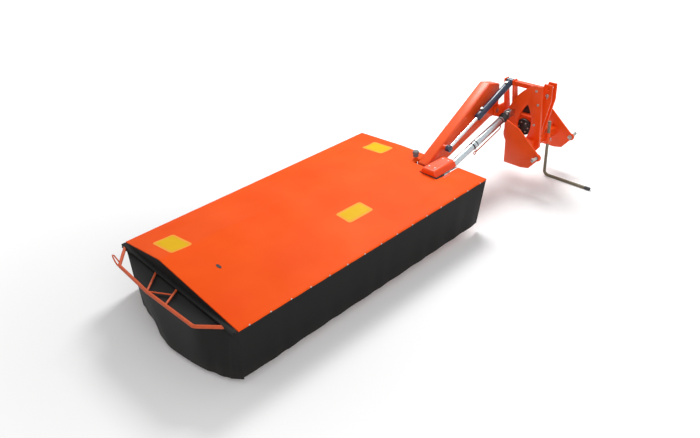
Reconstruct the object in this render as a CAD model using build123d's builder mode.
from build123d import *
import math
import os

os.makedirs("parts", exist_ok=True)

# Disc mower on a three-point headstock, parked on its shoes and its leg.
# Millimetres. X runs out along the cutterbar, Y forward to the tractor, Z up from the ground.

# Deck and where it lies
deck_length = 2850.0
deck_depth = 1670.0
deck_edge_z = 500.0
deck_inner_x = -756.0
deck_front_y = 616.0
deck_outer_x = deck_inner_x + deck_length
deck_rear_y = deck_front_y - deck_depth
ridge_depth_share = 0.63
ridge_rise_inner = 25.0
ridge_rise_outer = 108.0
cloth_wall = 4.0
skirt_wall = 6.0
skirt_bottom_z = 75.0
cut_overrun = 20.0
seat_gap = 0.3
run_gap = 0.05
side_gap = 6.0

# Row of discs
disc_count = 7
bar_inset = 25.0
disc_pitch = (deck_length - 2 * bar_inset) / disc_count
disc_radius_share = 0.3875
knife_reach_share = 0.595
drum_radius_share = 0.295
shoe_width_share = 0.575
disc_y = 120.0
disc_radius = disc_pitch * disc_radius_share
disc_rise = 34.0
disc_rim_wall = 5.0
hub_radius = 62.0
hub_height = 12.0
knife_reach = disc_pitch * knife_reach_share
knife_width = 45.0
knife_wall = 4.0
knife_phase = 90.0
bar_width = 330.0
bar_height = 50.0
bar_lip = 14.0
shoe_wall = 10.0
shoe_width = disc_pitch * shoe_width_share
shoe_length = 440.0
row_length = disc_pitch * (disc_count - 1)
first_disc_x = deck_inner_x + (deck_length - row_length) / 2
bar_z = shoe_wall
bar_top_z = bar_z + bar_height
disc_z = bar_top_z + hub_height
drum_height = 170.0
drum_radius = disc_pitch * drum_radius_share

# Tilt pivot and lift pivot, both in line with the joints of the drive shaft
tilt_inset_share = 0.2
lift_reach = 950.0
tilt_x = deck_inner_x + disc_pitch * tilt_inset_share
tilt_z = 470.0
lift_x = deck_inner_x - lift_reach
lift_z = 735.0
pivot_pin_radius = 25.0
pivot_boss_radius = 48.0
beam_y = -30.0
beam_width = 120.0
beam_wall = 8.0
shaft_y = 190.0

# Headstock
head_reach = 1140.0
head_x = deck_inner_x - head_reach
cheek_spacing = 640.0
cheek_wall = 16.0
link_pin_lead = 40.0
link_pin_y = deck_front_y + link_pin_lead
link_pin_z = 415.0
link_pin_radius = 14.25
link_shank_radius = 18.0
link_pin_reach = 95.0
link_boss_radius = 38.0
mast_height = 620.0
mast_gap = 62.0
mast_wall = 16.0
mast_depth = 90.0
spare_pin_drop = 75.0
top_pin_radius = 12.7
cross_size = 90.0
cheek_length = 350.0
cheek_rear_y = deck_front_y - cheek_length
cheek_top_z = 730.0
cheek_bottom_z = 250.0

near_cheek_x = head_x + cheek_spacing / 2
far_cheek_x = head_x - cheek_spacing / 2
top_pin_z = link_pin_z + mast_height
spare_pin_z = top_pin_z - spare_pin_drop


def place_on_side(x):
    """A plane across the machine at x: its first axis is Y, its second Z."""
    return Plane(origin=(x, 0, 0), x_dir=(0, 1, 0), z_dir=(1, 0, 0))


def place_along(y):
    """A plane along the machine at y, facing back: its first axis is X, its second Z."""
    return Plane(origin=(0, y, 0), x_dir=(1, 0, 0), z_dir=(0, -1, 0))


def save(builder, name):
    builder.part.label = name
    export_step(builder.part, "parts/" + name + ".step")


# Cutterbar: a low housing with a thin front lip and a rounded rear
bar_start_x = first_disc_x - disc_pitch / 2
bar_stop_x = bar_start_x + disc_pitch * disc_count
bar_front_y = disc_y + bar_width / 2
bar_rear_y = disc_y - bar_width / 2
bar_shoulder_share = 0.22
with BuildPart() as cutterbar:
    with BuildSketch(place_on_side(bar_start_x)):
        with BuildLine():
            Polyline(
                (bar_rear_y, bar_z),
                (bar_front_y, bar_z),
                (bar_front_y, bar_z + bar_lip),
                (bar_front_y - bar_width * bar_shoulder_share, bar_top_z),
                (bar_rear_y + bar_lip, bar_top_z),
                (bar_rear_y, bar_top_z - bar_lip),
                close=True,
            )
        make_face()
    extrude(amount=bar_stop_x - bar_start_x)
    # one bearing hub under each disc
    with BuildSketch(Plane.XY.offset(bar_top_z)):
        with Locations(*[(first_disc_x + disc_pitch * i, disc_y) for i in range(disc_count)]):
            Circle(hub_radius)
    extrude(amount=hub_height - side_gap)
    # a bearing pin on each hub carries its disc
    with BuildSketch(Plane.XY.offset(bar_top_z)):
        with Locations(*[(first_disc_x + disc_pitch * i, disc_y) for i in range(disc_count)]):
            Circle(pivot_pin_radius)
    extrude(amount=hub_height + disc_rise / 2)
save(cutterbar, "cutterbar")

# Shoes under the bar, one below each disc
with BuildPart() as skid_shoes:
    for i in range(disc_count):
        shoe_x = first_disc_x + disc_pitch * i - shoe_width / 2
        with BuildSketch(place_on_side(shoe_x)):
            with BuildLine():
                Polyline(
                    (disc_y - shoe_length / 2, 0),
                    (bar_front_y, 0),
                    (bar_front_y + shoe_wall, shoe_wall),
                    (bar_front_y + shoe_wall, bar_z + bar_lip),
                    (bar_front_y + seat_gap, bar_z + bar_lip),
                    (bar_front_y + seat_gap, shoe_wall),
                    (disc_y - shoe_length / 2, shoe_wall),
                    close=True,
                )
            make_face()
        extrude(amount=shoe_width)
save(skid_shoes, "skid_shoes")

# Seven discs with two knives each, neighbours a quarter turn apart
for i in range(disc_count):
    disc_x = first_disc_x + disc_pitch * i
    turn = knife_phase * (i % 2)
    with BuildPart() as disc:
        with BuildSketch(Plane(origin=(disc_x, disc_y, disc_z), z_dir=(0, -1, 0), x_dir=(1, 0, 0))):
            with BuildLine():
                Polyline(
                    (pivot_pin_radius + run_gap, 0),
                    (disc_radius, 0),
                    (disc_radius, disc_rim_wall),
                    (hub_radius + disc_rise, disc_rise - disc_rim_wall),
                    (pivot_pin_radius + run_gap, disc_rise),
                    close=True,
                )
            make_face()
        revolve(axis=Axis((disc_x, disc_y, disc_z), (0, 0, 1)))
        # knives under the rim
        knife_dir = (math.cos(math.radians(turn)), math.sin(math.radians(turn)), 0)
        with BuildSketch(Plane(origin=(disc_x, disc_y, disc_z), x_dir=knife_dir)):
            with PolarLocations((disc_radius + knife_reach) / 2 - knife_width / 2, 2):
                Rectangle(knife_reach - disc_radius + knife_width, knife_width)
        extrude(amount=-knife_wall)
        # crop drum on the first and the last disc
        if i == 0 or i == disc_count - 1:
            with BuildSketch(Plane.XY.offset(disc_z + disc_rise - disc_rim_wall)):
                with Locations((disc_x, disc_y)):
                    Circle(drum_radius)
                    Circle(pivot_pin_radius + run_gap, mode=Mode.SUBTRACT)
            extrude(amount=drum_height)
    save(disc, "disc_" + str(i + 1))

# Main rail above and behind the discs, with a post down to each end of the bar
rail_size = 90.0
rail_wall = 6.0
rail_y = bar_rear_y - rail_size
rail_z = 380.0
post_wall = 14.0
post_foot_share = 0.7
inner_post_x = bar_start_x
outer_post_x = bar_stop_x - post_wall
with BuildPart() as main_rail:
    with BuildSketch(place_on_side(inner_post_x + post_wall)):
        with Locations((rail_y, rail_z)):
            Rectangle(rail_size, rail_size)
            Rectangle(rail_size - 2 * rail_wall, rail_size - 2 * rail_wall, mode=Mode.SUBTRACT)
    extrude(amount=outer_post_x - inner_post_x - post_wall)
save(main_rail, "main_rail")

with BuildPart() as end_posts:
    for post_x in (inner_post_x, outer_post_x):
        with BuildSketch(place_on_side(post_x)):
            with BuildLine():
                Polyline(
                    (rail_y - rail_size / 2, rail_z + rail_size / 2),
                    (rail_y - rail_size / 2, rail_z - rail_size / 2),
                    (bar_rear_y - rail_size * post_foot_share, bar_z + seat_gap),
                    (bar_rear_y, bar_z + seat_gap),
                    (bar_rear_y, bar_top_z - bar_lip),
                    (rail_y + rail_size / 2, rail_z - rail_size / 2),
                    (rail_y + rail_size / 2, rail_z + rail_size / 2),
                    close=True,
                )
            make_face()
        extrude(amount=post_wall)
save(end_posts, "end_posts")

# Gearbox over the first disc, with the vertical neck of its drive
gear_width_share = 0.4
gear_width = disc_pitch * gear_width_share
gear_depth = 120.0
gear_height = 90.0
gear_corner = 24.0
gear_offset = 15.0
gear_y = shaft_y - gear_offset
gear_neck_radius = 60.0
gear_flange_radius = 66.0
gear_flange_wall = 16.0
gear_arm_width = 78.0
gear_floor_z = tilt_z - gear_height / 2
drum_top_z = disc_z + disc_rise - disc_rim_wall + drum_height
gear_face_share = 0.4
gear_face_x = first_disc_x - gear_width * gear_face_share
gear_back_x = gear_face_x + gear_width
with BuildPart() as mower_gearbox:
    with BuildSketch(Plane.XY.offset(gear_floor_z)):
        with Locations((gear_face_x + gear_width / 2, gear_y)):
            RectangleRounded(gear_width, gear_depth, gear_corner)
    extrude(amount=gear_height)
    with BuildSketch(Plane.XY.offset(drum_top_z + side_gap)):
        with Locations((first_disc_x, disc_y)):
            Circle(gear_neck_radius)
    extrude(amount=gear_floor_z - drum_top_z - side_gap)
    with BuildSketch(Plane.XY.offset(gear_floor_z)):
        with Locations((first_disc_x, disc_y)):
            Circle(gear_flange_radius)
    extrude(amount=-gear_flange_wall)
    # arm back to the main rail
    with BuildSketch(Plane.XY.offset(gear_floor_z - gear_flange_wall)):
        with Locations((gear_back_x - gear_arm_width / 2, (rail_y + rail_size / 2 + gear_y) / 2)):
            Rectangle(gear_arm_width, gear_y - rail_y - rail_size / 2)
    extrude(amount=gear_flange_wall)
save(mower_gearbox, "mower_gearbox")

stub_radius = 22.0
fork_length = 90.0
fork_width = 70.0
fork_gap = 44.0
fork_height = 60.0
joint_pin_radius = 11.0


def joint_fork(x, z, facing, reach):
    """A fork at x, z that opens along facing, with the cross pin of its joint."""
    with BuildPart() as fork:
        with BuildSketch(place_along(shaft_y)):
            with Locations((x - facing * fork_length / 6, z)):
                Rectangle(fork_length, fork_height)
        extrude(amount=fork_width / 2, both=True)
        with BuildSketch(place_along(shaft_y)):
            with Locations((x + facing * fork_length / 6, z)):
                Rectangle(fork_length, fork_height + cut_overrun)
        extrude(amount=fork_gap / 2, both=True, mode=Mode.SUBTRACT)
        with BuildSketch(place_along(shaft_y)):
            with Locations((x, z)):
                Circle(joint_pin_radius)
        extrude(amount=fork_width / 2, both=True)
        with BuildSketch(place_on_side(x - facing * fork_length * 2 / 3)):
            with Locations((shaft_y, z)):
                Circle(stub_radius)
        extrude(amount=-facing * (reach - fork_length * 2 / 3))
    return fork


input_fork = joint_fork(tilt_x, tilt_z, -1, gear_face_x - tilt_x - seat_gap)
save(input_fork, "input_fork")

# Tilt bracket: two lugs around the foot of the beam, on and before the main rail
lug_wall = 16.0
lug_gap = 5.0
lug_y = (beam_y - beam_width / 2 - lug_gap - lug_wall, beam_y + beam_width / 2 + lug_gap)
beam_tip = 90.0
bracket_stop_x = tilt_x + beam_tip + 2 * lug_wall
bracket_floor_z = rail_z - rail_size / 2
with BuildPart() as tilt_bracket:
    for y in lug_y:
        with BuildSketch(place_along(y)):
            with BuildLine():
                Polyline(
                    (tilt_x - pivot_boss_radius, tilt_z + pivot_boss_radius / 2),
                    (tilt_x - pivot_boss_radius, tilt_z - pivot_boss_radius),
                    (tilt_x, bracket_floor_z),
                    (bracket_stop_x, bracket_floor_z),
                    (bracket_stop_x, tilt_z),
                    (tilt_x, tilt_z + pivot_boss_radius / 2),
                    close=True,
                )
            make_face()
            with Locations((tilt_x, tilt_z)):
                Circle(pivot_pin_radius + run_gap, mode=Mode.SUBTRACT)
        extrude(amount=-lug_wall)
    # back plate behind the tip of the beam
    with BuildSketch(place_on_side(bracket_stop_x)):
        with Locations(((lug_y[0] + lug_y[1] + lug_wall) / 2, (bracket_floor_z + tilt_z) / 2)):
            Rectangle(lug_y[1] - lug_y[0] + lug_wall, tilt_z - bracket_floor_z)
    extrude(amount=-lug_wall)
    # floor plate under the tip
    with BuildSketch(Plane.XY.offset(bracket_floor_z)):
        with Locations(((tilt_x + bracket_stop_x) / 2, (lug_y[0] + lug_y[1] + lug_wall) / 2)):
            Rectangle(bracket_stop_x - tilt_x, lug_y[1] - lug_y[0] + lug_wall)
    extrude(amount=lug_wall)
    # the rail keeps its room
    with BuildSketch(place_on_side(inner_post_x - cut_overrun)):
        with Locations((rail_y, rail_z)):
            Rectangle(rail_size, rail_size)
    extrude(amount=row_length, mode=Mode.SUBTRACT)
save(tilt_bracket, "tilt_bracket")

with BuildPart() as tilt_pin:
    with BuildSketch(place_along(lug_y[0] - lug_gap)):
        with Locations((tilt_x, tilt_z)):
            Circle(pivot_pin_radius)
    extrude(amount=-(lug_y[1] - lug_y[0] + lug_wall + 2 * lug_gap))
save(tilt_pin, "tilt_pin")

# Lift cylinder, beside the beam
ram_side_gap = 66.0
ram_base_reach = 1100.0
ram_eye_reach = 88.0
ram_y = beam_y + beam_width / 2 + ram_side_gap
ram_base_x = deck_inner_x - ram_base_reach
ram_base_z = 1020.0
ram_eye_x = deck_inner_x - ram_eye_reach
ram_eye_z = 626.0
ram_radius = 38.0
ram_rod_radius = 16.0
ram_eye_radius = 34.0
ram_boss_radius = 24.0
ram_pin_radius = 15.0
ram_eye_width = 46.0
ram_base_width = 2 * ram_radius
ram_tube_length = 590.0
ram_floor_gap = 24.0

# Carrying beam: a tapering box that stoops from the headstock to the deck
beam_rear_rise = 275.0
beam_peak_run = 130.0
beam_peak_rise = 325.0
beam_tip_rise = 40.0
beam_outline = (
    # x from the lift pivot, z from the lift pivot
    (lift_x - pivot_boss_radius, lift_z - pivot_boss_radius),
    (lift_x - pivot_boss_radius, lift_z + beam_rear_rise),
    (lift_x + beam_peak_run, lift_z + beam_peak_rise),
    (tilt_x + beam_tip, tilt_z + beam_tip_rise),
    (tilt_x + pivot_boss_radius, tilt_z - pivot_boss_radius),
    (tilt_x - pivot_boss_radius, tilt_z - pivot_boss_radius),
    (lift_x + 2 * pivot_boss_radius, lift_z - pivot_boss_radius),
)
with BuildPart() as carrying_beam:
    with BuildSketch(place_along(beam_y)):
        with BuildLine():
            Polyline(*beam_outline, close=True)
        make_face()
    extrude(amount=beam_width / 2, both=True)
    with BuildSketch(place_along(beam_y)):
        with BuildLine():
            Polyline(*beam_outline, close=True)
        make_face()
        offset(amount=-beam_wall)
    extrude(amount=beam_width / 2 - beam_wall, both=True, mode=Mode.SUBTRACT)
    with BuildSketch(place_along(beam_y)):
        with Locations((lift_x, lift_z), (tilt_x, tilt_z)):
            Circle(pivot_boss_radius - beam_wall / 2)
    extrude(amount=beam_width / 2, both=True)
    with BuildSketch(place_along(beam_y)):
        with Locations((lift_x, lift_z), (tilt_x, tilt_z)):
            Circle(pivot_pin_radius + run_gap)
    extrude(amount=beam_width / 2 + cut_overrun, both=True, mode=Mode.SUBTRACT)
    # boss that faces the eye of the lift cylinder
    with BuildSketch(place_along(beam_y + beam_width / 2)):
        with Locations((ram_eye_x, ram_eye_z)):
            Circle(ram_boss_radius)
    extrude(amount=-(ram_y - ram_eye_width / 2 - lug_gap - beam_y - beam_width / 2))
save(carrying_beam, "carrying_beam")

# Drive shaft with its guard tube, a tongue at each joint
guard_radius = 38.0
guard_wall = 3.0
shaft_radius = 17.5
tongue_wall = fork_gap - 2 * lug_gap
tongue_radius = 24.0
shaft_start = Vector(lift_x, shaft_y, lift_z)
shaft_stop = Vector(tilt_x, shaft_y, tilt_z)
shaft_run = shaft_stop - shaft_start
shaft_length = shaft_run.length
shaft_dir = shaft_run.normalized()
shaft_plane = Plane(origin=shaft_start, z_dir=shaft_dir, x_dir=(0, 1, 0))
with BuildPart() as drive_shaft:
    with BuildSketch(shaft_plane.offset(shaft_radius)):
        Circle(shaft_radius)
    extrude(amount=shaft_length - 2 * shaft_radius)
    with BuildSketch(place_along(shaft_y)):
        with Locations((lift_x, lift_z), (tilt_x, tilt_z)):
            Circle(tongue_radius)
    extrude(amount=tongue_wall / 2, both=True)
    with BuildSketch(place_along(shaft_y)):
        with Locations((lift_x, lift_z), (tilt_x, tilt_z)):
            Circle(joint_pin_radius + run_gap)
    extrude(amount=fork_width, both=True, mode=Mode.SUBTRACT)
save(drive_shaft, "drive_shaft")

guard_start = 120.0
guard_stop = 82.0
with BuildPart() as shaft_guard:
    with BuildSketch(shaft_plane.offset(guard_start)):
        Circle(guard_radius)
        Circle(shaft_radius + seat_gap, mode=Mode.SUBTRACT)
    extrude(amount=shaft_length - guard_start - guard_stop)
save(shaft_guard, "shaft_guard")

collar_length = 60.0
collar_radius = 50.0
with BuildPart() as guard_collar:
    with BuildSketch(shaft_plane.offset(guard_start - collar_length)):
        Circle(collar_radius)
        Circle(shaft_radius + seat_gap, mode=Mode.SUBTRACT)
    extrude(amount=collar_length - seat_gap)
save(guard_collar, "guard_collar")

# Lift cylinder between the headstock and the foot of the beam
ram_start = Vector(ram_base_x, ram_y, ram_base_z)
ram_stop = Vector(ram_eye_x, ram_y, ram_eye_z)
ram_run = ram_stop - ram_start
ram_length = ram_run.length
ram_dir = ram_run.normalized()
ram_plane = Plane(origin=ram_start, z_dir=ram_dir, x_dir=(0, 1, 0))
with BuildPart() as ram_barrel:
    with BuildSketch(ram_plane.offset(ram_eye_radius / 2)):
        Circle(ram_radius)
    extrude(amount=ram_tube_length)
    with BuildSketch(place_along(ram_y)):
        with Locations((ram_base_x, ram_base_z)):
            Circle(ram_eye_radius)
    extrude(amount=ram_base_width / 2, both=True)
    with BuildSketch(place_along(ram_y)):
        with Locations((ram_base_x, ram_base_z)):
            Circle(ram_pin_radius + run_gap)
    extrude(amount=ram_radius + cut_overrun, both=True, mode=Mode.SUBTRACT)
    with BuildSketch(ram_plane.offset(ram_eye_radius + ram_floor_gap)):
        Circle(ram_rod_radius + run_gap)
    extrude(amount=ram_length, mode=Mode.SUBTRACT)
save(ram_barrel, "ram_barrel")

ram_closed = 500.0
with BuildPart() as ram_rod:
    with BuildSketch(ram_plane.offset(ram_closed)):
        Circle(ram_rod_radius)
    extrude(amount=ram_length - ram_closed)
    with BuildSketch(place_along(ram_y)):
        with Locations((ram_eye_x, ram_eye_z)):
            Circle(ram_eye_radius)
    extrude(amount=ram_eye_width / 2, both=True)
save(ram_rod, "ram_rod")

# Cheek plates of the headstock with the lower link pins
cheek_shoulder = 150.0
cheek_drop = 60.0
cheek_toe = 90.0
cheek_outline = (
    # y, z
    (cheek_rear_y, cheek_bottom_z),
    (cheek_rear_y, cheek_top_z),
    (cheek_rear_y + cheek_shoulder, cheek_top_z - cheek_drop),
    (link_pin_y, link_pin_z + link_boss_radius),
    (link_pin_y, link_pin_z - link_boss_radius),
    (link_pin_y - cheek_toe, cheek_bottom_z + link_boss_radius / 2),
    (link_pin_y - 2 * cheek_toe, cheek_bottom_z),
)
with BuildPart() as cheek_plates:
    for cheek_x in (near_cheek_x, far_cheek_x):
        with BuildSketch(place_on_side(cheek_x)):
            with BuildLine():
                Polyline(*cheek_outline, close=True)
            make_face()
            with Locations((link_pin_y, link_pin_z)):
                Circle(link_boss_radius)
            with Locations((link_pin_y, link_pin_z)):
                Circle(link_shank_radius + run_gap, mode=Mode.SUBTRACT)
        extrude(amount=cheek_wall / 2, both=True)
save(cheek_plates, "cheek_plates")

# Pins of the tractor's linkage: each lower one has a shank in its cheek and a head inside
link_head_wall = 12.0
link_head_radius = 24.0
mast_inset = 30.0
mast_front_y = deck_front_y - mast_inset
with BuildPart() as linkage_pins:
    for side, cheek_x in ((1, near_cheek_x), (-1, far_cheek_x)):
        with BuildSketch(place_on_side(cheek_x - side * (cheek_wall / 2 + link_head_wall))):
            with Locations((link_pin_y, link_pin_z)):
                Circle(link_head_radius)
        extrude(amount=side * (link_head_wall - seat_gap))
        with BuildSketch(place_on_side(cheek_x - side * (cheek_wall / 2 + link_head_wall))):
            with Locations((link_pin_y, link_pin_z)):
                Circle(link_shank_radius)
        extrude(amount=side * (cheek_wall + link_head_wall))
        with BuildSketch(place_on_side(cheek_x + side * cheek_wall / 2)):
            with Locations((link_pin_y, link_pin_z)):
                Circle(link_pin_radius)
        extrude(amount=side * link_pin_reach)
    # spare pin of the top link
    with BuildSketch(place_on_side(head_x - mast_gap / 2 - mast_wall - link_head_wall)):
        with Locations((mast_front_y - mast_depth / 2, spare_pin_z)):
            Circle(top_pin_radius)
    extrude(amount=mast_gap + 2 * mast_wall + 2 * link_head_wall)
save(linkage_pins, "linkage_pins")

# Cross tube between the cheeks
cross_inset = 170.0
cross_y = deck_front_y - cross_inset
cross_z = 450.0
with BuildPart() as cross_tube:
    with BuildSketch(place_on_side(far_cheek_x + cheek_wall / 2 + seat_gap)):
        with Locations((cross_y, cross_z)):
            Rectangle(cross_size, cross_size)
    extrude(amount=cheek_spacing - cheek_wall - 2 * seat_gap)
save(cross_tube, "cross_tube")

# Mast on the cross tube: two plates that lean forward, with a block between their feet
boom_size = 100.0
boom_offset = 200.0
boom_x = lift_x - boom_offset
boom_z = 640.0
boom_top_z = boom_z + boom_size / 2
boom_rear_y = beam_y - beam_width / 2 - lug_gap - lug_wall
mast_foot_z = cross_z + cross_size / 2 + seat_gap
mast_top_z = top_pin_z + mast_depth / 2
mast_rear_y = cross_y - cross_size / 2
with BuildPart() as mast:
    for side in (-1, 1):
        with BuildSketch(place_on_side(head_x + side * (mast_gap + mast_wall) / 2)):
            with BuildLine():
                Polyline(
                    (mast_rear_y, mast_foot_z),
                    (cross_y + cross_size / 2, mast_foot_z),
                    (mast_front_y, spare_pin_z - mast_depth / 2),
                    (mast_front_y, mast_top_z),
                    (mast_front_y - mast_depth, mast_top_z),
                    (mast_rear_y, boom_top_z + boom_size / 2),
                    close=True,
                )
            make_face()
            with Locations(*[(mast_front_y - mast_depth / 2, z) for z in (top_pin_z, spare_pin_z)]):
                Circle(top_pin_radius + run_gap, mode=Mode.SUBTRACT)
        extrude(amount=mast_wall / 2, both=True)
    with BuildSketch(Plane.XY.offset(mast_foot_z)):
        with Locations((head_x, cross_y)):
            Rectangle(mast_gap, cross_size)
    extrude(amount=boom_top_z - mast_foot_z)
save(mast, "mast")


def mast_back_y(z):
    """Rear edge of the mast's plates at height z."""
    low_z = boom_top_z + boom_size / 2
    return mast_rear_y + (mast_front_y - mast_depth - mast_rear_y) * (z - low_z) / (mast_top_z - low_z)


# Boom back from the mast, with the lugs of the lift pivot and of the lift cylinder
ram_lug_ys = (ram_y - ram_base_width / 2 - lug_gap - lug_wall, ram_y + ram_base_width / 2 + lug_gap)
with BuildPart() as boom:
    with BuildSketch(place_along(boom_rear_y)):
        with Locations((boom_x, boom_z)):
            Rectangle(boom_size, boom_size)
    extrude(amount=-(mast_rear_y - seat_gap - boom_rear_y))
    for y in lug_y:
        with BuildSketch(place_along(y)):
            with BuildLine():
                Polyline(
                    (boom_x, boom_z - boom_size / 2),
                    (lift_x + pivot_boss_radius, lift_z - pivot_boss_radius),
                    (lift_x + pivot_boss_radius, lift_z + pivot_boss_radius),
                    (boom_x, lift_z + pivot_boss_radius),
                    close=True,
                )
            make_face()
            with Locations((lift_x, lift_z)):
                Circle(pivot_pin_radius + run_gap, mode=Mode.SUBTRACT)
        extrude(amount=-lug_wall)
    for y in ram_lug_ys:
        with BuildSketch(place_along(y)):
            with BuildLine():
                Polyline(
                    (boom_x - boom_size / 2, boom_z),
                    (boom_x + boom_size / 2, boom_z),
                    (ram_base_x + ram_eye_radius, ram_base_z),
                    (ram_base_x + ram_eye_radius, ram_base_z + ram_eye_radius),
                    (ram_base_x - ram_eye_radius, ram_base_z + ram_eye_radius),
                    close=True,
                )
            make_face()
            with Locations((ram_base_x, ram_base_z)):
                Circle(ram_pin_radius + run_gap, mode=Mode.SUBTRACT)
        extrude(amount=-lug_wall)
save(boom, "boom")

# Brace from the lugs of the lift cylinder to the mast
brace_size = 50.0
brace_rear_y = ram_lug_ys[1] + lug_wall + seat_gap
brace_low_z = ram_base_z - brace_size / 2
brace_high_z = ram_base_z + brace_size / 2
with BuildPart() as ram_brace:
    with BuildSketch(place_on_side(ram_base_x)):
        with BuildLine():
            Polyline(
                (brace_rear_y, brace_low_z),
                (brace_rear_y, brace_high_z),
                (mast_back_y(brace_high_z) - seat_gap, brace_high_z),
                (mast_back_y(brace_low_z) - seat_gap, brace_low_z),
                close=True,
            )
        make_face()
    extrude(amount=brace_size / 2, both=True)
save(ram_brace, "ram_brace")

pivot_specs = (
    # x, z, radius, rear y, front y
    (lift_x, lift_z, pivot_pin_radius, lug_y[0] - lug_gap, lug_y[1] + lug_wall + lug_gap),
    (ram_base_x, ram_base_z, ram_pin_radius, ram_lug_ys[0] - lug_gap, ram_lug_ys[1] + lug_wall),
)
with BuildPart() as pivot_pins:
    for pin_x, pin_z, pin_radius, pin_rear_y, pin_front_y in pivot_specs:
        with BuildSketch(place_along(pin_rear_y)):
            with Locations((pin_x, pin_z)):
                Circle(pin_radius)
        extrude(amount=-(pin_front_y - pin_rear_y))
save(pivot_pins, "pivot_pins")

# Headstock gearbox on the boom, with its black shields
head_gear_width = 220.0
head_gear_depth = 140.0
head_gear_height = 150.0
head_gear_seat = 32.0
head_gear_back_x = boom_x - boom_size / 2 + head_gear_seat
head_gear_offset = 48.0
input_share = 0.68
head_gear_y = shaft_y + head_gear_offset
input_x = head_gear_back_x - head_gear_width * input_share
with BuildPart() as headstock_gearbox:
    with BuildSketch(Plane.XY.offset(boom_top_z + seat_gap)):
        with Locations((head_gear_back_x - head_gear_width / 2, head_gear_y)):
            RectangleRounded(head_gear_width, head_gear_depth, gear_corner)
    extrude(amount=head_gear_height)
save(headstock_gearbox, "headstock_gearbox")

output_fork = joint_fork(lift_x, lift_z, 1, lift_x - head_gear_back_x - seat_gap)
save(output_fork, "output_fork")

input_z = lift_z
shield_length = 85.0
shield_radius = 75.0
shield_wall = 4.0
input_radius = 17.45
input_reach = 80.0
input_shoulder = 5.0
cover_radius = 90.0
cover_wall = 28.0
cover_y = 305.0
cover_z = 568.0
gear_front_y = head_gear_y + head_gear_depth / 2
with BuildPart() as drive_shields:
    with BuildSketch(place_along(gear_front_y + seat_gap)):
        with Locations((input_x, input_z)):
            Circle(shield_radius)
            Circle(shield_radius - shield_wall, mode=Mode.SUBTRACT)
    extrude(amount=-shield_length)
    with BuildSketch(place_along(gear_front_y + seat_gap)):
        with Locations((input_x, input_z)):
            Circle(shield_radius)
            Circle(input_radius + input_shoulder + side_gap, mode=Mode.SUBTRACT)
    extrude(amount=-shield_wall)
    # round cover on the near face of the boom
    with BuildSketch(place_on_side(boom_x + boom_size / 2 + seat_gap)):
        with Locations((cover_y, cover_z)):
            Circle(cover_radius)
    extrude(amount=cover_wall)
save(drive_shields, "drive_shields")

with BuildPart() as input_shaft:
    with BuildSketch(place_along(gear_front_y + seat_gap)):
        with Locations((input_x, input_z)):
            Circle(input_radius)
    extrude(amount=-input_reach)
    with BuildSketch(place_along(gear_front_y + seat_gap)):
        with Locations((input_x, input_z)):
            Circle(input_radius + input_shoulder)
    extrude(amount=-2 * input_shoulder)
save(input_shaft, "input_shaft")

# Ring plate beside the headstock: a rounded plate around a teardrop opening
ring_setback = 80.0
ring_x = lift_x - ring_setback
ring_front_inset = 95.0
ring_wall = 30.0
ring_front_y = deck_front_y - ring_front_inset
ring_depth = 410.0
ring_top_z = 1075.0
ring_height = 740.0
ring_outer = (
    # share of the depth back from the front edge, share of the height down from the top
    (0.22, 0.0),
    (0.83, 0.33),
    (1.0, 0.75),
    (0.94, 0.93),
    (0.66, 1.0),
    (0.05, 0.96),
    (-0.06, 0.885),
    (0.0, 0.0),
)
ring_inner = (
    (0.363, 0.288),
    (0.58, 0.48),
    (0.632, 0.723),
    (0.539, 0.838),
    (0.368, 0.818),
    (0.227, 0.588),
)


def on_ring(shares):
    """The point at two shares of the ring plate's depth and height."""
    return (ring_front_y - ring_depth * shares[0], ring_top_z - ring_height * shares[1])


outer_ring = [on_ring(shares) for shares in ring_outer]
inner_ring = [on_ring(shares) for shares in ring_inner]
with BuildPart() as ring_plate:
    with BuildSketch(place_on_side(ring_x)):
        with BuildLine():
            ThreePointArc(outer_ring[0], outer_ring[1], outer_ring[2])
            ThreePointArc(outer_ring[2], outer_ring[3], outer_ring[4])
            Polyline(*outer_ring[4:], outer_ring[0])
        make_face()
        with BuildLine():
            ThreePointArc(inner_ring[0], inner_ring[1], inner_ring[2])
            ThreePointArc(inner_ring[2], inner_ring[3], inner_ring[4])
            ThreePointArc(inner_ring[4], inner_ring[5], inner_ring[0])
        make_face(mode=Mode.SUBTRACT)
        with Locations((shaft_y, lift_z)):
            Circle(stub_radius + side_gap, mode=Mode.SUBTRACT)
        with Locations((cross_y, cross_z)):
            Rectangle(cross_size + 2 * seat_gap, cross_size + 2 * seat_gap, mode=Mode.SUBTRACT)
    extrude(amount=ring_wall / 2, both=True)
save(ring_plate, "ring_plate")

# Parking leg: a bent round bar in a socket on the near cheek
leg_radius = 16.0
leg_reach = 1230.0
leg_x = deck_inner_x - leg_reach
leg_stand = 14.0
leg_y = cross_y + cross_size / 2 + leg_radius + leg_stand
leg_bend = 50.0
leg_foot_reach = 444.0
leg_foot_y = deck_front_y + leg_foot_reach
leg_top_z = 640.0
socket_wall = 6.0
socket_height = 120.0
with BuildPart() as leg_socket:
    with BuildSketch(Plane.XY.offset(cross_z - socket_height / 2)):
        with Locations((leg_x, leg_y)):
            Circle(leg_radius + socket_wall)
        with Locations((leg_x, (leg_y + cross_y + cross_size / 2 + seat_gap) / 2)):
            Rectangle(2 * leg_radius, leg_y - cross_y - cross_size / 2 - seat_gap)
        with Locations((leg_x, leg_y)):
            Circle(leg_radius + run_gap, mode=Mode.SUBTRACT)
    extrude(amount=socket_height)
save(leg_socket, "leg_socket")

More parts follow.
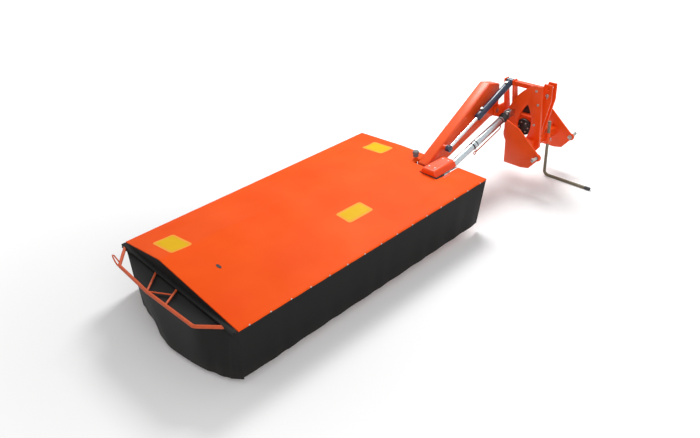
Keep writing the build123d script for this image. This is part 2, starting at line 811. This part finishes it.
with BuildPart() as parking_leg:
    with BuildLine():
        FilletPolyline(
            (leg_x, leg_y, leg_top_z),
            (leg_x, leg_y, leg_radius),
            (leg_x, leg_foot_y, leg_radius),
            radius=leg_bend,
        )
    with BuildSketch(Plane.XY.offset(leg_top_z)):
        with Locations((leg_x, leg_y)):
            Circle(leg_radius)
    sweep()
save(parking_leg, "parking_leg")

# Hinge line of the front flap and the profile of the cloth over the frames
hinge_y = 65.0
hinge_drop = 22.0
hinge_rod_radius = 8.0
hinge_barrel_radius = 13.0
hinge_barrel_length = 80.0
hinge_ear_wall = 8.0
tube_size = 25.0
flap_clear = 3.0
hinge_slot_width = 34.0
ridge_y = deck_front_y - deck_depth * ridge_depth_share

# Ribs that carry the cloth, at the same places on the deck and on the flap
rib_count = 5
rib_first_gap = 51.0
rib_last_inset = 60.0
rib_first_x = gear_back_x + rib_first_gap
rib_last_x = deck_outer_x - rib_last_inset
rib_xs = [rib_first_x + (rib_last_x - rib_first_x) * i / (rib_count - 1) for i in range(rib_count)]


def ridge_rise(x):
    """Rise of the ridge over the deck's edges, growing to the outer end."""
    return ridge_rise_inner + (ridge_rise_outer - ridge_rise_inner) * (x - deck_inner_x) / deck_length


def roof_z(x, y):
    """Height of the cloth's underside at x, y."""
    if y <= ridge_y:
        share = (y - deck_rear_y) / (ridge_y - deck_rear_y)
    else:
        share = (deck_front_y - y) / (deck_front_y - ridge_y)
    return deck_edge_z + ridge_rise(x) * share


def roof_band(x, ys, top, depth):
    """Outline at x of a band that follows the roof, from top above it down by depth."""
    high = [(y, roof_z(x, y) + top) for y in ys]
    low = [(y, roof_z(x, y) + top - depth) for y in reversed(ys)]
    return high + low


def hinge_z(x):
    """Height of the hinge line at x, a little below the cloth."""
    return roof_z(x, hinge_y) - hinge_drop


def hinge_plane(x):
    """A plane square to the hinge line at x, its centre on the line."""
    rise = hinge_z(deck_outer_x) - hinge_z(deck_inner_x)
    return Plane(origin=(x, hinge_y, hinge_z(x)), x_dir=(0, 1, 0), z_dir=(deck_length, 0, rise))


rear_ys = (deck_rear_y, ridge_y, hinge_y - hinge_slot_width)
front_ys = (hinge_y + flap_clear, deck_front_y)
notch_y = (beam_y - beam_width / 2 - 2 * side_gap, hinge_y)
notch_x = bracket_stop_x
with BuildPart() as rear_canopy:
    for x in (deck_inner_x, deck_outer_x):
        with BuildSketch(place_on_side(x)):
            with BuildLine():
                Polyline(*roof_band(x, rear_ys, cloth_wall, cloth_wall), close=True)
            make_face()
    loft(ruled=True)
    # notch for the foot of the beam
    with BuildSketch(Plane.XY.offset(deck_edge_z - cut_overrun)):
        with Locations(((deck_inner_x - cut_overrun + notch_x) / 2, (notch_y[0] + notch_y[1]) / 2)):
            Rectangle(notch_x - deck_inner_x + cut_overrun, notch_y[1] - notch_y[0])
    extrude(amount=2 * ridge_rise_outer, mode=Mode.SUBTRACT)
save(rear_canopy, "rear_canopy")

# Front cloth, cut away at its inner rear corner around the hood
hood_half = 88.0
hood_y = (hinge_y + flap_clear, shaft_y + hood_half)
hood_stop_x = gear_back_x
hood_rise = 62.0
hood_slant = 34.0
bay_stop_x = hood_stop_x + side_gap
bay_front_y = hood_y[1] + 2 * side_gap
bay_x = (deck_inner_x - cut_overrun + bay_stop_x) / 2
bay_y = (front_ys[0] - cut_overrun + bay_front_y) / 2
with BuildPart() as front_canopy:
    for x in (deck_inner_x, deck_outer_x):
        with BuildSketch(place_on_side(x)):
            with BuildLine():
                Polyline(*roof_band(x, front_ys, cloth_wall, cloth_wall), close=True)
            make_face()
    loft(ruled=True)
    with BuildSketch(Plane.XY.offset(deck_edge_z - cut_overrun)):
        with Locations((bay_x, bay_y)):
            Rectangle(bay_stop_x - deck_inner_x + cut_overrun, bay_front_y - front_ys[0] + cut_overrun)
    extrude(amount=2 * ridge_rise_outer, mode=Mode.SUBTRACT)
save(front_canopy, "front_canopy")

# Hood over the drive shaft: it stands on the gearbox and stays when the flap opens
hood_stand_width = 60.0
hood_rear_z = roof_z(hood_stop_x, hood_y[0]) + cloth_wall + seat_gap
hood_front_z = roof_z(hood_stop_x, hood_y[1]) + cloth_wall + seat_gap
hood_top_z = hood_rear_z + hood_rise
gear_top_z = gear_floor_z + gear_height
hood_outline = (
    # y, z
    (hood_y[0], hood_rear_z),
    (hood_y[0] + hood_slant, hood_top_z),
    (hood_y[1] - hood_slant, hood_top_z),
    (hood_y[1], hood_front_z),
)
with BuildPart() as shaft_hood:
    with BuildSketch(place_on_side(deck_inner_x)):
        with BuildLine():
            Polyline(*hood_outline, close=True)
        make_face()
        with BuildLine():
            Polyline(
                (hood_y[0] + cloth_wall, hood_rear_z - cloth_wall),
                (hood_y[0] + cloth_wall, hood_rear_z),
                (hood_y[0] + hood_slant + cloth_wall, hood_top_z - cloth_wall),
                (hood_y[1] - hood_slant - cloth_wall, hood_top_z - cloth_wall),
                (hood_y[1] - cloth_wall, hood_front_z),
                (hood_y[1] - cloth_wall, hood_front_z - cloth_wall),
                close=True,
            )
        make_face(mode=Mode.SUBTRACT)
    extrude(amount=hood_stop_x - deck_inner_x)
    with BuildSketch(place_on_side(hood_stop_x)):
        with BuildLine():
            Polyline(*hood_outline, close=True)
        make_face()
    extrude(amount=-cloth_wall)
    with BuildSketch(Plane.XY.offset(gear_top_z + seat_gap)):
        with Locations((gear_face_x + gear_width / 2, gear_y)):
            Rectangle(hood_stand_width, hood_stand_width)
    extrude(amount=hood_top_z - cloth_wall / 2 - gear_top_z - seat_gap)
save(shaft_hood, "shaft_hood")

# Tubes and ribs under the cloth
tube_lead = 20.0
tube_lag = 60.0
flap_rear_y = hinge_y + tube_lead
cross_rear_y = hinge_y - tube_lag


def edge_tube(x_start, x_stop, y):
    """A square tube along X under the cloth, its rear face at y."""
    with BuildPart() as tube:
        for x in (x_start, x_stop):
            with BuildSketch(place_on_side(x)):
                with BuildLine():
                    Polyline(*roof_band(x, (y, y + tube_size), -seat_gap, tube_size), close=True)
                make_face()
        loft(ruled=True)
    return tube.part


def cloth_rib(x, ys):
    """A rib under the cloth over the stations ys, centred on x."""
    with BuildPart() as rib:
        with BuildSketch(place_on_side(x - tube_size / 2)):
            with BuildLine():
                Polyline(*roof_band(x - tube_size / 2, ys, -seat_gap, tube_size), close=True)
            make_face()
        extrude(amount=tube_size)
    return rib.part


# front tube, rear tube from the first rib on, short tube in front of the hood
flap_members = [
    edge_tube(deck_inner_x, deck_outer_x, deck_front_y - tube_size),
    edge_tube(rib_xs[0] - tube_size / 2, deck_outer_x, flap_rear_y),
    edge_tube(deck_inner_x, rib_xs[0], bay_front_y),
    cloth_rib(deck_inner_x + tube_size / 2, (bay_front_y, deck_front_y - seat_gap)),
]
for x in (*rib_xs, deck_outer_x - tube_size / 2):
    flap_members.append(cloth_rib(x, (flap_rear_y, deck_front_y - seat_gap)))
with BuildPart() as flap_frame:
    add(flap_members)
    for x in rib_xs:
        with BuildSketch(hinge_plane(x - hinge_barrel_length / 2)):
            Circle(hinge_barrel_radius)
            with Locations(((flap_rear_y + tube_size / 2 - hinge_y) / 2, 0)):
                Rectangle(flap_rear_y + tube_size / 2 - hinge_y, hinge_barrel_radius)
            Circle(hinge_rod_radius + run_gap, mode=Mode.SUBTRACT)
        extrude(amount=hinge_barrel_length)
save(flap_frame, "flap_frame")

cross_start_x = notch_x + side_gap
inner_rib_x = inner_post_x + post_wall + tube_size / 2
inner_rib_post = 60.0
ear_back = 45.0
ear_low = 24.0
ear_high = 8.0
ear_step = 10.0
# rear tube under the cloth's edge, cross tube behind the hinge, ribs between them
canopy_members = [
    edge_tube(deck_inner_x, deck_outer_x, deck_rear_y),
    edge_tube(cross_start_x, deck_outer_x, cross_rear_y),
    cloth_rib(inner_rib_x, (deck_rear_y + seat_gap, ridge_y, rail_y - rail_size / 2 + inner_rib_post)),
]
for x in (*rib_xs, deck_outer_x - tube_size / 2):
    canopy_members.append(cloth_rib(x, (deck_rear_y + seat_gap, ridge_y, cross_rear_y + tube_size / 2)))
with BuildPart() as canopy_frame:
    add(canopy_members)
    # posts on the main rail
    for x, depth in ((inner_rib_x, inner_rib_post), *[(x, rail_size) for x in rib_xs]):
        post_top_z = roof_z(x, rail_y) - tube_size / 2
        with BuildSketch(place_on_side(x - tube_size / 2)):
            with Locations((rail_y - rail_size / 2 + depth / 2, (rail_z + rail_size / 2 + post_top_z) / 2)):
                Rectangle(depth, post_top_z - rail_z - rail_size / 2)
        extrude(amount=tube_size)
    # ears around each hinge barrel, low behind it so that the flap can fold up over them
    ear_reach = hinge_barrel_length / 2 + lug_gap
    for x in rib_xs:
        for ear_x in (x - ear_reach - hinge_ear_wall, x + ear_reach):
            with BuildSketch(hinge_plane(ear_x)):
                Circle(hinge_barrel_radius)
                with BuildLine():
                    Polyline(
                        (0, -hinge_barrel_radius / 2),
                        (0, -ear_low),
                        (-ear_back, -ear_low),
                        (-ear_back, ear_high),
                        (-ear_back + ear_step / 2, ear_high),
                        (-ear_back + ear_step, -ear_high),
                        (-ear_step, -ear_high),
                        close=True,
                    )
                make_face()
                Circle(hinge_rod_radius + run_gap, mode=Mode.SUBTRACT)
            extrude(amount=hinge_ear_wall)
save(canopy_frame, "canopy_frame")

with BuildPart() as hinge_rod:
    rod_start_x = rib_xs[0] - hinge_barrel_length
    with BuildSketch(hinge_plane(rod_start_x)):
        Circle(hinge_rod_radius)
    extrude(amount=deck_outer_x - rod_start_x)
save(hinge_rod, "hinge_rod")

# Skirts
front_skirt_slant = 126.0
with BuildPart() as front_skirt:
    with BuildSketch(place_along(deck_front_y + seat_gap)):
        with BuildLine():
            Polyline(
                (deck_inner_x, deck_edge_z),
                (deck_inner_x + front_skirt_slant, skirt_bottom_z),
                (deck_outer_x, skirt_bottom_z),
                (deck_outer_x, deck_edge_z),
                close=True,
            )
        make_face()
    extrude(amount=-skirt_wall)
save(front_skirt, "front_skirt")

inner_skirt_front_y = rail_y - 2 * rail_size
with BuildPart() as rear_skirt:
    with BuildSketch(place_along(deck_rear_y - seat_gap)):
        with Locations(((deck_inner_x + deck_outer_x) / 2, (deck_edge_z + skirt_bottom_z) / 2)):
            Rectangle(deck_length, deck_edge_z - skirt_bottom_z)
    extrude(amount=skirt_wall)
    # the inner end, from the rear corner to behind the rail
    with BuildSketch(place_on_side(deck_inner_x - seat_gap)):
        with BuildLine():
            Polyline(
                (deck_rear_y, skirt_bottom_z),
                (deck_rear_y, deck_edge_z),
                (ridge_y, roof_z(deck_inner_x, ridge_y)),
                (inner_skirt_front_y, roof_z(deck_inner_x, inner_skirt_front_y)),
                (inner_skirt_front_y, skirt_bottom_z),
                close=True,
            )
        make_face()
    extrude(amount=-skirt_wall)
save(rear_skirt, "rear_skirt")

# Guard around the outer end: a bent tube on an arm beside the deck
guard_tube_radius = 14.0
guard_bend = 60.0
arm_width = 25.0
guard_z = deck_edge_z - guard_tube_radius
arm_x = deck_outer_x + side_gap
arm_inset = 10.0
arm_stop_inset = 84.0
arm_y = (deck_rear_y + arm_inset, deck_front_y - arm_stop_inset)
pad_share = (0.12, 0.52)
pad_length = 40.0
strut_radius = 9.0
cross_strut_radius = 6.0
guard_corners = (
    # out from the deck, share of the deck's depth from its rear edge
    (197.0, 0.16),
    (212.0, 0.455),
    (182.0, 0.825),
)
guard_start_share = 0.0145
guard_stop_share = 0.94
strut_specs = (
    # out from the deck and depth share at each end, radius
    (18.5, 0.3375, 205.0, 0.448, strut_radius),
    (18.5, 0.5365, 205.0, 0.608, strut_radius),
    (208.0, 0.453, 96.0, 0.5662, cross_strut_radius),
)


def beside_deck(out, share):
    """The point at a distance out from the deck's end and a share of its depth."""
    return (deck_outer_x + out, deck_rear_y + deck_depth * share)


guard_path = (
    (arm_x + arm_width / 2, deck_rear_y + deck_depth * guard_start_share),
    *[beside_deck(out, share) for out, share in guard_corners],
    (arm_x + arm_width / 2, deck_rear_y + deck_depth * guard_stop_share),
)
with BuildPart() as end_guard:
    with BuildLine():
        FilletPolyline(*[(x, y, guard_z) for x, y in guard_path], radius=guard_bend)
    first_dir = Vector(*guard_path[1]) - Vector(*guard_path[0])
    with BuildSketch(Plane(origin=(*guard_path[0], guard_z), z_dir=first_dir)):
        Circle(guard_tube_radius)
    sweep()
    with BuildSketch(place_along(arm_y[0])):
        with Locations((arm_x + arm_width / 2, guard_z)):
            Rectangle(arm_width, arm_width)
    extrude(amount=-(arm_y[1] - arm_y[0]))
    # pads against the frame of the deck
    for share in pad_share:
        pad_y = deck_rear_y + deck_depth * share
        pad_floor_z = guard_z - arm_width / 2
        pad_top_z = roof_z(deck_outer_x, pad_y) - tube_size / 2
        with BuildSketch(place_on_side(deck_outer_x + seat_gap)):
            with Locations((pad_y, (pad_floor_z + pad_top_z) / 2)):
                Rectangle(pad_length, pad_top_z - pad_floor_z)
        extrude(amount=side_gap)
    # struts from the arm to the tube, with a short one between them
    for start_out, start_share, stop_out, stop_share, radius in strut_specs:
        strut_start = Vector(*beside_deck(start_out, start_share), guard_z)
        strut_stop = Vector(*beside_deck(stop_out, stop_share), guard_z)
        with BuildSketch(Plane(origin=strut_start, z_dir=strut_stop - strut_start)):
            Circle(radius)
        extrude(amount=(strut_stop - strut_start).length)
save(end_guard, "end_guard")

# Sheet from the arm out to the tube, and the skirt that hangs below the tube
end_sheet_wall = 5.0
end_sheet_z = guard_z - guard_tube_radius - seat_gap - end_sheet_wall
end_bottom_z = 50.0
end_top_line = (
    # out from the deck, share of the deck's depth from its rear edge
    (14.0, 0.008),
    (204.0, 0.33),
    (211.0, 0.455),
    (182.0, 0.82),
    (20.0, 0.935),
    (14.0, 0.996),
)
end_low_line = (
    (105.0, 0.16),
    (165.0, 0.37),
    (222.0, 0.545),
    (180.0, 0.78),
    (97.0, 0.933),
    (30.0, 0.992),
)


def hanging_line(line):
    """Closed outline of a curtain's section: its outer line and, behind it, its inner line."""
    outer = [beside_deck(out, share) for out, share in line]
    inner = [(x - skirt_wall, y) for x, y in reversed(outer)]
    return outer + inner


with BuildPart() as end_skirt:
    with BuildSketch(Plane.XY.offset(end_sheet_z)):
        with BuildLine():
            Polyline(*[beside_deck(out, share) for out, share in end_top_line], close=True)
        make_face()
    extrude(amount=end_sheet_wall)
    for z, line in ((end_bottom_z, end_low_line), (end_sheet_z, end_top_line)):
        with BuildSketch(Plane.XY.offset(z)):
            with BuildLine():
                Polyline(*hanging_line(line), close=True)
            make_face()
    loft(ruled=True)
save(end_skirt, "end_skirt")
